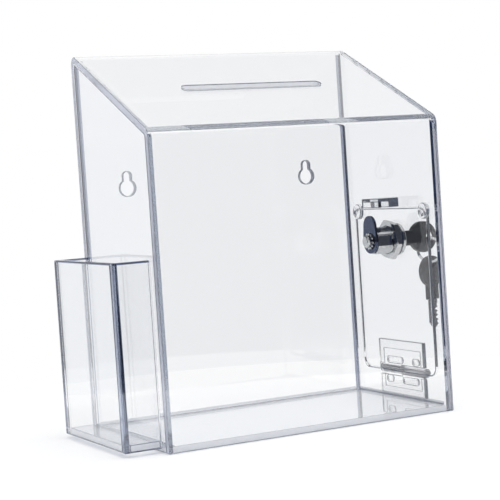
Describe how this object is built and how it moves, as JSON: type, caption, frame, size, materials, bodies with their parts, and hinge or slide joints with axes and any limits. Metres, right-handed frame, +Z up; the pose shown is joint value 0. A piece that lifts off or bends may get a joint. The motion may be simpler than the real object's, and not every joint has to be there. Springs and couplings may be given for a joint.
{
  "type": "suggestion box",
  "caption": "Clear acrylic suggestion box with a sloping slotted top, a side pocket for forms and a hinged side door with a cam lock and keys.",
  "frame": {"origin": "middle of the box's underside, under the floor panel, without the pocket and the keys", "axes": "+X to the right seen from the front, towards the door; +Y to the back; +Z up"},
  "size_m": [0.2746, 0.122, 0.2536],
  "materials": {
    "clear_acrylic": "clear polished sheet",
    "clear_moulding": "clear moulded plastic",
    "chromed_zinc": "chrome plated",
    "plated_steel": "nickel plated",
    "black_plastic": "fine texture"
  },
  "bodies": {
    "box": {"body_wrap": "clear_acrylic", "left_side_panel": "clear_acrylic", "right_side_panel": "clear_acrylic", "floor_panel": "clear_acrylic", "pocket_outer_wall": "clear_acrylic", "pocket_front_wall": "clear_acrylic", "pocket_back_wall": "clear_acrylic", "pocket_floor": "clear_acrylic", "door_stop_front": "clear_moulding", "door_stop_rear": "clear_moulding", "catch_bracket": "clear_moulding", "hinge_wall_leaf": "clear_moulding", "hinge_pin": "plated_steel"},
    "door": {"door_panel": "clear_acrylic", "hinge_door_leaf": "clear_moulding", "lock_barrel": "chromed_zinc", "lock_nut": "chromed_zinc"},
    "plug": {"lock_plug": "chromed_zinc", "lock_cam": "plated_steel", "cam_washer": "chromed_zinc", "cam_screw": "chromed_zinc"},
    "key": {"key_blade": "plated_steel", "key_bow": "black_plastic"},
    "ring": {"key_ring": "plated_steel"},
    "spare_key": {"spare_key_blade": "plated_steel", "spare_key_bow": "black_plastic"}
  },
  "joints": [
    {"name": "door_hinge", "type": "hinge", "parent": "box", "child": "door", "pos_m": [0.10835, 0, 0.02205], "axis": [0, 1, 0], "range_deg": [0, 90]},
    {"name": "lock_turn", "type": "hinge", "parent": "door", "child": "plug", "pos_m": [0.0843, -0.002, 0.1155], "axis": [1, 0, 0], "range_deg": [0, 90]},
    {"name": "key_pull", "type": "slide", "parent": "plug", "child": "key", "axis": [1, 0, 0], "range_m": [0, 0.0225]},
    {"name": "ring_swing", "type": "hinge", "parent": "key", "child": "ring", "pos_m": [0.1337, -0.002, 0.1144], "axis": [0.7193, 0.6947, 0], "range_deg": [-8, 8]},
    {"name": "spare_key_swing", "type": "hinge", "parent": "ring", "child": "spare_key", "pos_m": [0.1337, -0.002, 0.0972], "axis": [0.6947, -0.7193, 0], "range_deg": [-15, 15]}
  ]
}
